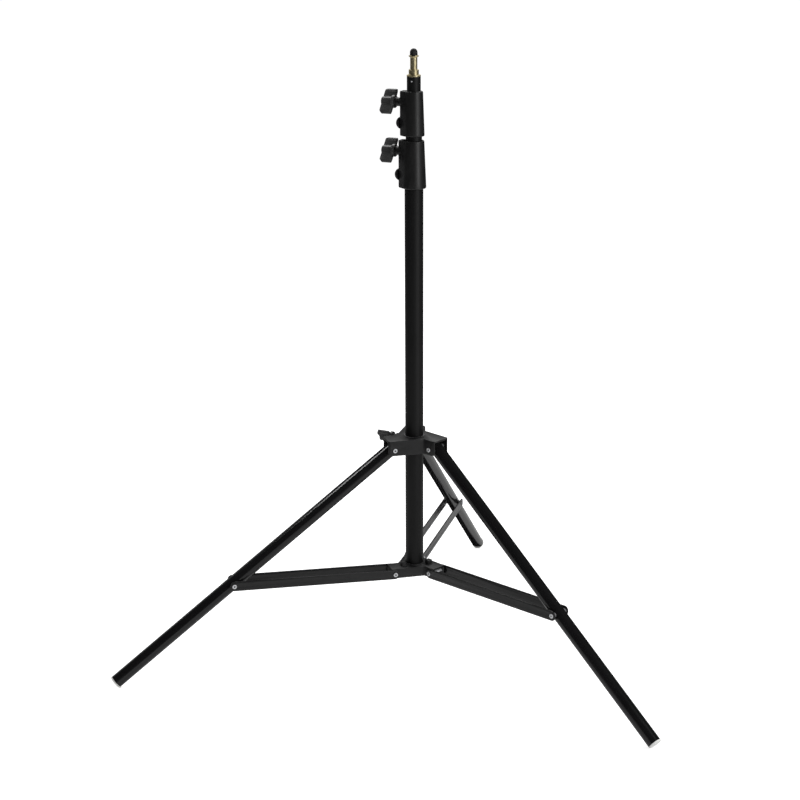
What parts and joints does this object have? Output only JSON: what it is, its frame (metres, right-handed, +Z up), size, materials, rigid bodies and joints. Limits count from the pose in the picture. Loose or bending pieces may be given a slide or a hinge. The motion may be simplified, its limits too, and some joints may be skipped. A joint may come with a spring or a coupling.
{
  "type": "light stand",
  "caption": "Telescopic lamp stand: a sliding tube column clamped by wing knobs on folding legs, with braces and a grooved brass lamp stud under a rubber cap.",
  "frame": {"origin": "centre of the column's flat lower end face, on the column's axis; the floor under the feet is about 0.149 m lower", "axes": "+Z up along the column; +X right and -Y towards the viewer of the picture"},
  "size_m": [0.8772, 0.8736, 1.0263],
  "materials": {
    "black_paint": "smooth black paint, half gloss",
    "black_casting": "black painted casting, satin",
    "black_strap": "black painted flat strip, satin",
    "black_plastic": "moulded, satin",
    "grey_nylon": "moulded",
    "white_nylon": "moulded, smooth",
    "zinc_steel": "zinc plated",
    "brass": "turned, bright",
    "black_rubber": "moulded"
  },
  "bodies": {
    "column": {"lower_tube": "black_paint", "column_end_plug": "black_plastic", "lower_spider": "black_casting", "column_pin": "zinc_steel", "lower_collar": "black_plastic", "lower_collar_bolt": "black_plastic", "spider_rivet_rear": "zinc_steel", "spider_rivet_left": "zinc_steel", "spider_rivet_right": "zinc_steel"},
    "middle_section": {"middle_tube": "black_paint", "middle_tube_glide": "grey_nylon", "upper_collar": "black_plastic", "upper_collar_bolt": "black_plastic"},
    "top_section": {"top_tube": "black_paint", "top_tube_glide": "grey_nylon", "stud": "brass", "stud_pin": "zinc_steel"},
    "cap": {"stud_cap": "black_rubber"},
    "upper_spider": {"upper_spider": "black_casting", "upper_spider_liner": "grey_nylon", "leg_rivet_rear": "zinc_steel", "leg_rivet_left": "zinc_steel", "leg_rivet_right": "zinc_steel"},
    "lower_knob": {"lower_knob": "black_plastic", "lower_knob_washer": "black_plastic", "lower_knob_screw": "zinc_steel"},
    "upper_knob": {"upper_knob": "black_plastic", "upper_knob_washer": "black_plastic", "upper_knob_screw": "zinc_steel"},
    "spider_knob": {"spider_knob": "black_plastic", "spider_knob_washer": "black_plastic", "spider_knob_screw": "zinc_steel"},
    "leg_rear": {"leg_rear": "black_paint", "foot_plug_rear": "white_nylon", "leg_rear_pivot_sleeve": "grey_nylon", "leg_rear_brace_sleeve": "grey_nylon"},
    "brace_rear": {"strap_rear_inner": "black_strap", "strap_rear_outer": "black_strap", "brace_rivet_rear_inner": "zinc_steel", "brace_rivet_rear_outer": "zinc_steel"},
    "leg_left": {"leg_left": "black_paint", "foot_plug_left": "white_nylon", "leg_left_pivot_sleeve": "grey_nylon", "leg_left_brace_sleeve": "grey_nylon"},
    "brace_left": {"strap_left_inner": "black_strap", "strap_left_outer": "black_strap", "brace_rivet_left_inner": "zinc_steel", "brace_rivet_left_outer": "zinc_steel"},
    "leg_right": {"leg_right": "black_paint", "foot_plug_right": "white_nylon", "leg_right_pivot_sleeve": "grey_nylon", "leg_right_brace_sleeve": "grey_nylon"},
    "brace_right": {"strap_right_inner": "black_strap", "strap_right_outer": "black_strap", "brace_rivet_right_inner": "zinc_steel", "brace_rivet_right_outer": "zinc_steel"}
  },
  "joints": [
    {"name": "spider_slide", "type": "slide", "parent": "column", "child": "upper_spider", "axis": [0, 0, 1], "range_m": [0, 0.4]},
    {"name": "middle_slide", "type": "slide", "parent": "column", "child": "middle_section", "axis": [0, 0, 1], "range_m": [0, 0.61]},
    {"name": "top_slide", "type": "slide", "parent": "middle_section", "child": "top_section", "axis": [0, 0, 1], "range_m": [0, 0.61]},
    {"name": "cap_pull_off", "type": "slide", "parent": "top_section", "child": "cap", "axis": [0, 0, 1], "range_m": [0, 0.026]},
    {"name": "lower_knob_turn", "type": "hinge", "parent": "column", "child": "lower_knob", "pos_m": [-0.03942, 0.01838, 0.7153], "axis": [-0.9063, 0.4226, 0], "range_deg": [0, 720]},
    {"name": "upper_knob_turn", "type": "hinge", "parent": "middle_section", "child": "upper_knob", "pos_m": [-0.03942, 0.01838, 0.79275], "axis": [-0.9063, 0.4226, 0], "range_deg": [0, 720]},
    {"name": "spider_knob_turn", "type": "hinge", "parent": "upper_spider", "child": "spider_knob", "pos_m": [-0.04577, 0.02134, 0.23341], "axis": [-0.9063, 0.4226, 0], "range_deg": [0, 720]},
    {"name": "leg_rear_hinge", "type": "hinge", "parent": "upper_spider", "child": "leg_rear", "pos_m": [0.00016, 0.04152, 0.22731], "axis": [-0.9622, 0.2723, 0], "range_deg": [0, 52.5]},
    {"name": "brace_rear_hinge", "type": "hinge", "parent": "column", "child": "brace_rear", "pos_m": [0.00016, 0.04152, 0.00785], "axis": [0.9622, -0.2723, 0], "range_deg": [0, 88.8]},
    {"name": "leg_left_hinge", "type": "hinge", "parent": "upper_spider", "child": "leg_left", "pos_m": [-0.03604, -0.02062, 0.22731], "axis": [0.2453, -0.9694, 0], "range_deg": [0, 52.5]},
    {"name": "brace_left_hinge", "type": "hinge", "parent": "column", "child": "brace_left", "pos_m": [-0.03604, -0.02062, 0.00785], "axis": [-0.2453, 0.9694, 0], "range_deg": [0, 88.8]},
    {"name": "leg_right_hinge", "type": "hinge", "parent": "upper_spider", "child": "leg_right", "pos_m": [0.03588, -0.0209, 0.22731], "axis": [0.7169, 0.6972, 0], "range_deg": [0, 52.5]},
    {"name": "brace_right_hinge", "type": "hinge", "parent": "column", "child": "brace_right", "pos_m": [0.03588, -0.0209, 0.00785], "axis": [-0.7169, -0.6972, 0], "range_deg": [0, 88.8]}
  ],
  "couplings": [
    {"joint": "leg_rear_hinge", "follows": "spider_slide", "rad_per_m": 2.2755},
    {"joint": "brace_rear_hinge", "follows": "spider_slide", "rad_per_m": 3.863},
    {"joint": "leg_left_hinge", "follows": "spider_slide", "rad_per_m": 2.2755},
    {"joint": "brace_left_hinge", "follows": "spider_slide", "rad_per_m": 3.863},
    {"joint": "leg_right_hinge", "follows": "spider_slide", "rad_per_m": 2.2755},
    {"joint": "brace_right_hinge", "follows": "spider_slide", "rad_per_m": 3.863}
  ]
}
